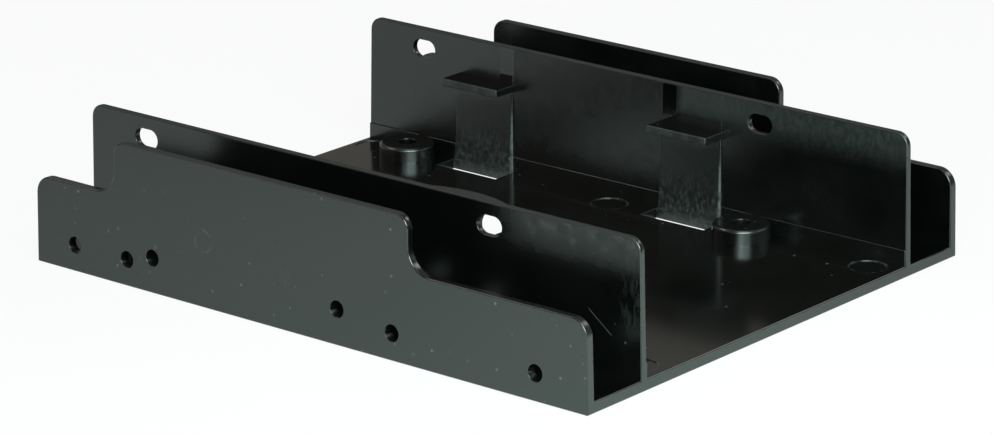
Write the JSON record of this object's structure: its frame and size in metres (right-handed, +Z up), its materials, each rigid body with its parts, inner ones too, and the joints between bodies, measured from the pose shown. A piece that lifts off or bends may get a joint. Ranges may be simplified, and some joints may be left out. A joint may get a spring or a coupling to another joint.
{
  "type": "drive bay adapter",
  "caption": "Moulded black plastic frame that holds stacked 2.5-inch drives in a 3.5-inch bay: flat floor, inner drive walls with lips and slots, and stepped outer walls with screw holes.",
  "frame": {"origin": "middle of the underside of the floor", "axes": "+X across the bay, to the right seen from the front; +Y along the walls, to the back; +Z up"},
  "size_m": [0.1016, 0.1214, 0.0253],
  "materials": {
    "black_plastic": "semi-gloss moulded, lightly scuffed"
  },
  "bodies": {
    "root": {"adapter_frame": "black_plastic"}
  },
  "joints": []
}
